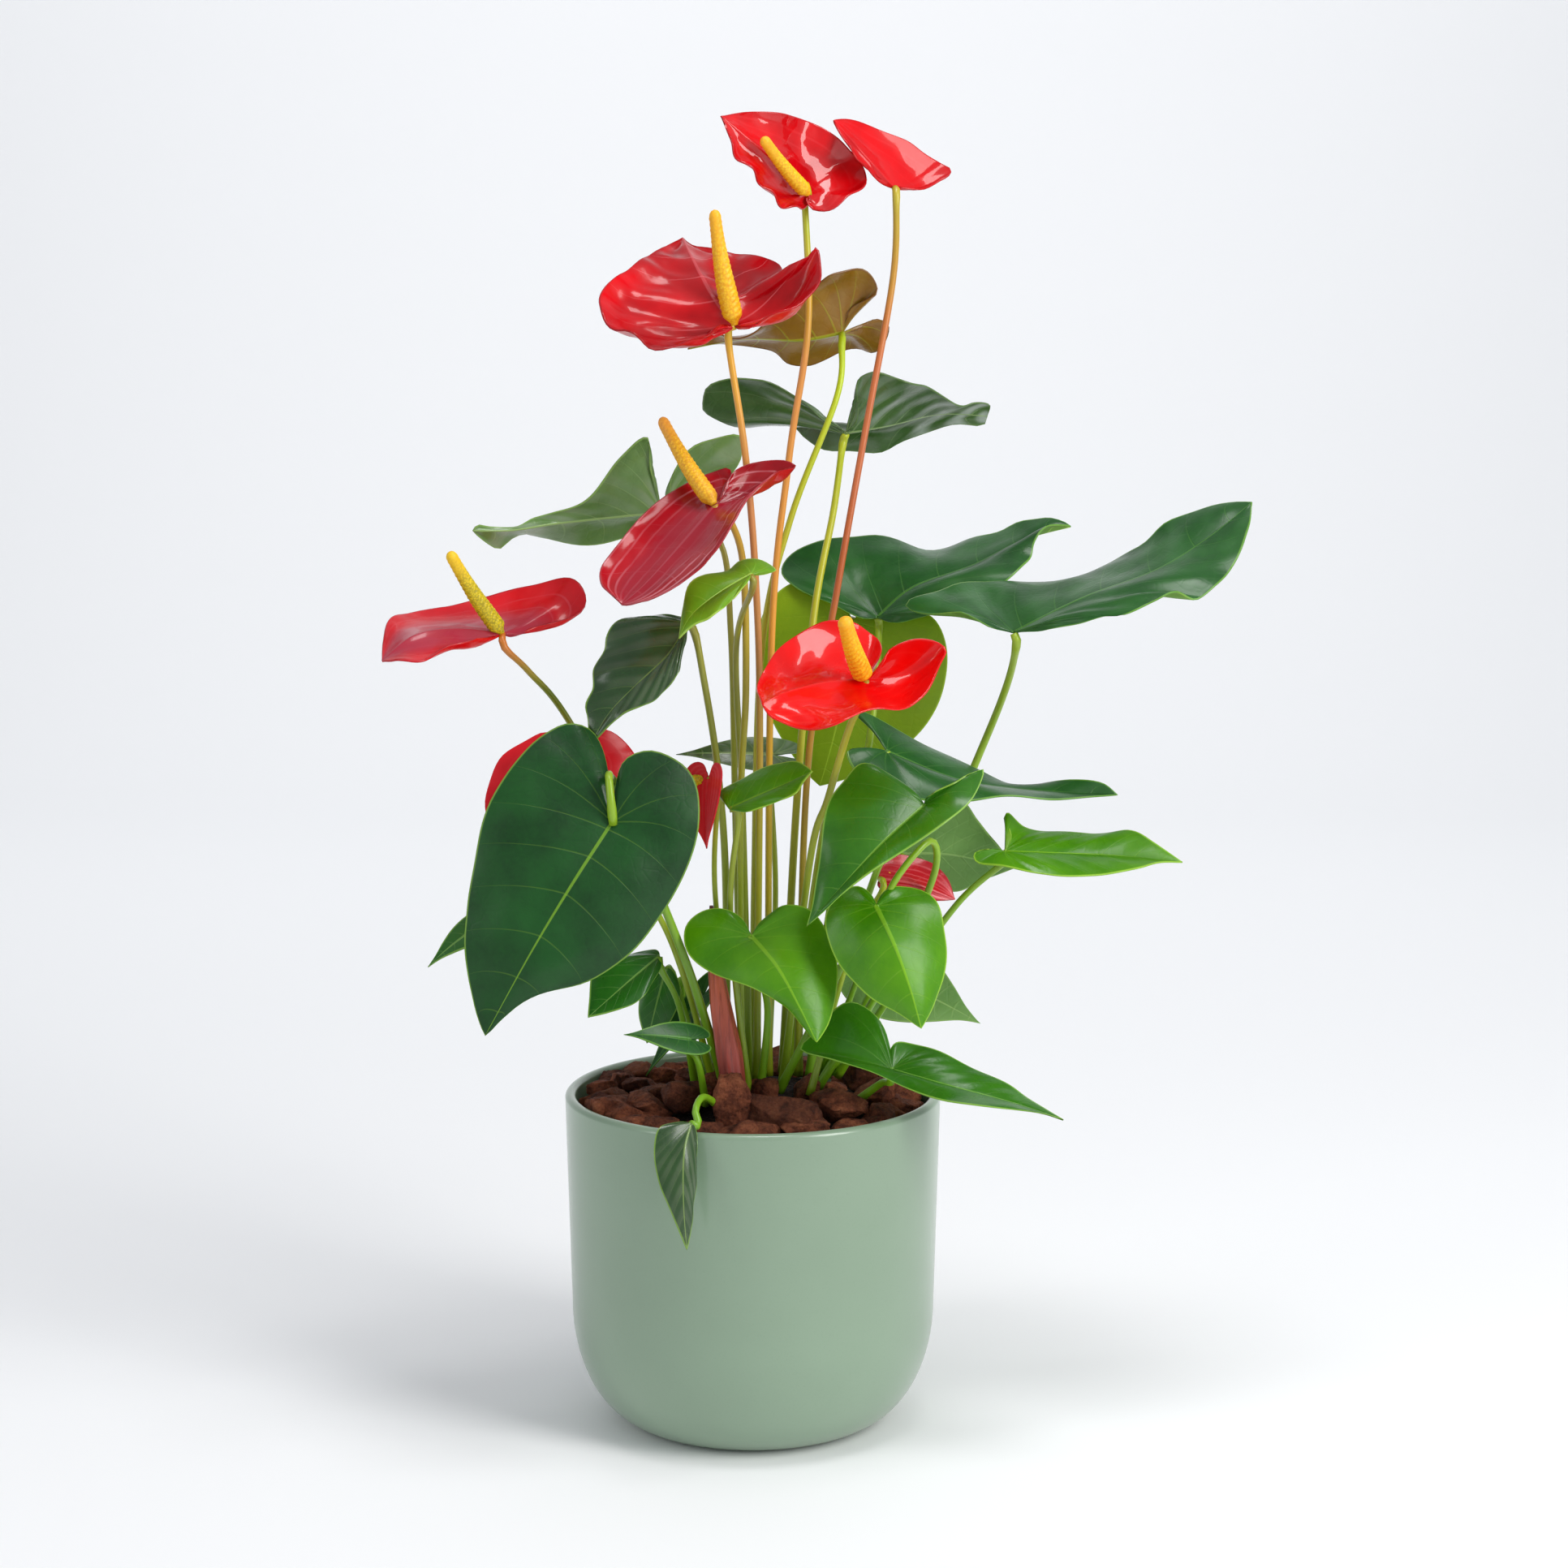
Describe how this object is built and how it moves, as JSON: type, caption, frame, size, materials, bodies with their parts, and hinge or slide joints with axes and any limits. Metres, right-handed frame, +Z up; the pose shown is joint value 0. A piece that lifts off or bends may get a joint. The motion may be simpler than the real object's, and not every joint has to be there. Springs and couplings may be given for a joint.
{
  "type": "potted anthurium",
  "caption": "Living anthurium plant with glossy heart-shaped leaves and red spathes on tall stems, growing in a round glazed ceramic pot topped with bark mulch.",
  "frame": {"origin": "centre of the pot's flat base, on the surface that it stands on", "axes": "+Z up along the pot's axis; the viewed front faces -Y, and +X is to the right of a viewer who looks at that front"},
  "size_m": [0.4443, 0.2558, 0.685],
  "materials": {
    "pot_glaze": "satin sage green glaze",
    "potting_mix": "matte",
    "bark": "rough",
    "cataphyll": "satin",
    "leaf": "glossy on top, paler below",
    "bronze_leaf": "satin",
    "flower_stem": "satin",
    "spathe": "waxy gloss",
    "spadix": "matte, bumpy"
  },
  "bodies": {
    "root": {"pot": "pot_glaze", "potting_mix": "potting_mix", "bark_mulch": "bark", "bark_chip_left": "bark", "bark_chip_front": "bark", "bark_chip_right": "bark", "cataphyll": "cataphyll", "leaf_front_left": "leaf", "leaf_bronze_top": "bronze_leaf", "leaf_upper_mid": "leaf", "leaf_upper_left": "leaf", "leaf_mid_left_dark": "leaf", "leaf_mid_light": "leaf", "leaf_right_upper": "leaf", "leaf_right_long": "leaf", "leaf_back_light": "leaf", "leaf_right_folded": "leaf", "leaf_centre_hang": "leaf", "leaf_front_bright": "leaf", "leaf_front_small": "leaf", "leaf_right_bright": "leaf", "leaf_pale_behind": "leaf", "leaf_rim_right": "leaf", "leaf_low_pale": "leaf", "leaf_over_rim": "leaf", "leaf_left_low_a": "leaf", "leaf_left_low_b": "leaf", "leaf_left_low_c": "leaf", "leaf_left_low_d": "leaf", "leaf_blade_narrow": "leaf", "leaf_left_tip": "leaf", "leaf_mid_folded": "leaf", "leaf_inner_small": "leaf", "flower1_stem": "flower_stem", "flower1_spathe": "spathe", "flower1_spadix": "spadix", "flower2_stem": "flower_stem", "flower2_spathe": "spathe", "flower2_spadix": "spadix", "flower3_stem": "flower_stem", "flower3_spathe": "spathe", "flower3_spadix": "spadix", "flower4_stem": "flower_stem", "flower4_spathe": "spathe", "flower4_spadix": "spadix", "flower5_stem": "flower_stem", "flower5_spathe": "spathe", "flower5_spadix": "spadix", "flower6_stem": "flower_stem", "flower6_spathe": "spathe", "flower6_spadix": "spadix", "flower7_stem": "flower_stem", "flower7_spathe": "spathe", "flower7_spadix": "spadix", "flower8_stem": "flower_stem", "flower8_spathe": "spathe", "flower8_spadix": "spadix", "flower9_stem": "flower_stem", "flower9_spathe": "spathe", "flower9_spadix": "spadix"}
  },
  "joints": []
}
